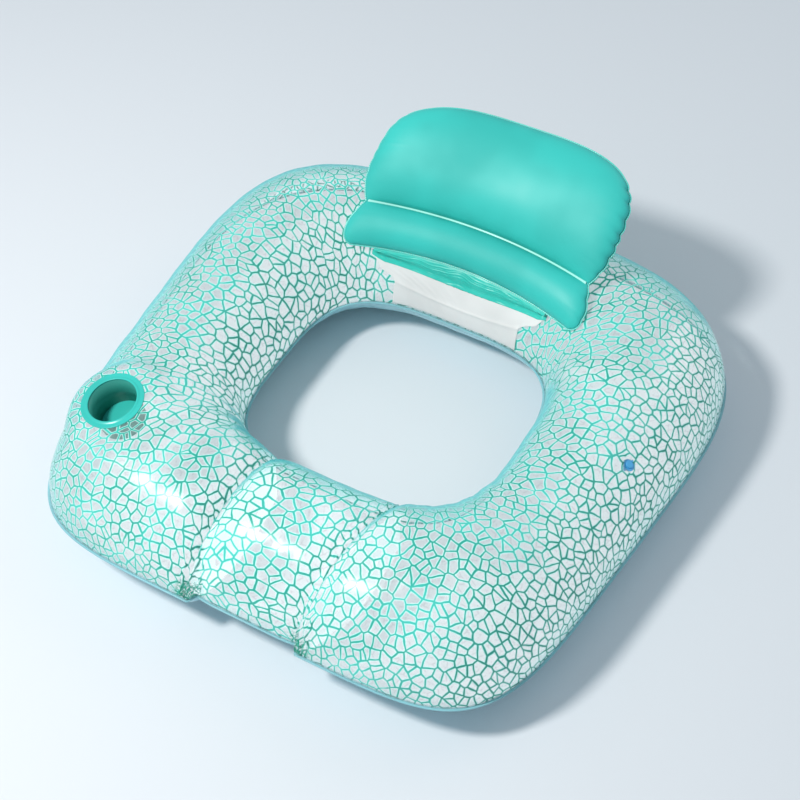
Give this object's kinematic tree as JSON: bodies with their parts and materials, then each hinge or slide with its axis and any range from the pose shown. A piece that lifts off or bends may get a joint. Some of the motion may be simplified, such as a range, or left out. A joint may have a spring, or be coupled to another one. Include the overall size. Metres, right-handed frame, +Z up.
{
  "type": "inflatable pool lounger",
  "caption": "Inflatable pool lounger: welded square ring with open seat, printed top film, cup holder, front baffles and a flap-hinged backrest.",
  "frame": {"origin": "floor under the middle of the ring, on the plane of its flat underside", "axes": "+Z up, +Y towards the backrest, -Y towards the sitter's feet, +X to the sitter's left"},
  "size_m": [1.125, 1.1166, 0.4213],
  "materials": {
    "printed_sheet": "glossy PVC film, off-white crackle cells in thin green-blue lines",
    "clear_teal_sheet": "glossy see-through teal PVC film",
    "turquoise_sheet": "glossy turquoise PVC film",
    "white_panel": "plain white satin PVC film",
    "blue_moulding": "blue soft moulded PVC"
  },
  "bodies": {
    "ring": {"ring_top_sheet": "printed_sheet", "ring_bottom_sheet": "clear_teal_sheet", "ring_outer_seam": "clear_teal_sheet", "ring_inner_seam": "clear_teal_sheet", "front_baffle_left": "clear_teal_sheet", "front_baffle_right": "clear_teal_sheet", "cup_holder_rim": "turquoise_sheet", "cup_holder_wall": "turquoise_sheet", "cup_holder_floor": "turquoise_sheet", "rear_panel": "white_panel", "hinge_flap": "clear_teal_sheet", "ring_valve_flange": "blue_moulding"},
    "ring_valve_stem": {"ring_valve_stem": "blue_moulding", "ring_valve_tether": "blue_moulding"},
    "ring_valve_plug": {"ring_valve_plug": "blue_moulding"},
    "ring_valve_check_flap": {"ring_valve_check_flap": "blue_moulding"},
    "backrest": {"backrest_front_sheet": "turquoise_sheet", "backrest_rear_sheet": "turquoise_sheet", "backrest_edge_seam": "turquoise_sheet", "backrest_divider_weld": "turquoise_sheet", "backrest_valve_flange": "blue_moulding"},
    "backrest_valve_stem": {"backrest_valve_stem": "blue_moulding", "backrest_valve_tether": "blue_moulding"},
    "backrest_valve_plug": {"backrest_valve_plug": "blue_moulding"},
    "backrest_valve_check_flap": {"backrest_valve_check_flap": "blue_moulding"}
  },
  "joints": [
    {"name": "backrest_hinge", "type": "hinge", "parent": "ring", "child": "backrest", "pos_m": [0, 0.245, 0.2077], "axis": [1, 0, 0], "range_deg": [0, 110], "deforming": ["hinge_flap"]},
    {"name": "ring_valve_pull", "type": "slide", "parent": "ring", "child": "ring_valve_stem", "axis": [0.4466, -0.0468, 0.8935], "range_m": [0, 0.012]},
    {"name": "ring_plug_pull", "type": "slide", "parent": "ring_valve_stem", "child": "ring_valve_plug", "axis": [0.4466, -0.0468, 0.8935], "range_m": [0, 0.012], "deforming": ["ring_valve_tether"]},
    {"name": "ring_check_flap_hinge", "type": "hinge", "parent": "ring_valve_stem", "child": "ring_valve_check_flap", "pos_m": [0.46949, -0.00113, 0.20514], "axis": [-0.8886, 0.0932, 0.4491], "range_deg": [0, 35]},
    {"name": "backrest_valve_pull", "type": "slide", "parent": "backrest", "child": "backrest_valve_stem", "axis": [0.1755, 0.593, -0.7859], "range_m": [0, 0.012]},
    {"name": "backrest_plug_pull", "type": "slide", "parent": "backrest_valve_stem", "child": "backrest_valve_plug", "axis": [0.1755, 0.593, -0.7859], "range_m": [0, 0.012], "deforming": ["backrest_valve_tether"]},
    {"name": "backrest_check_flap_hinge", "type": "hinge", "parent": "backrest_valve_stem", "child": "backrest_valve_check_flap", "pos_m": [0.12257, 0.42577, 0.31304], "axis": [0.223, 0.7536, 0.6184], "range_deg": [0, 35]}
  ]
}
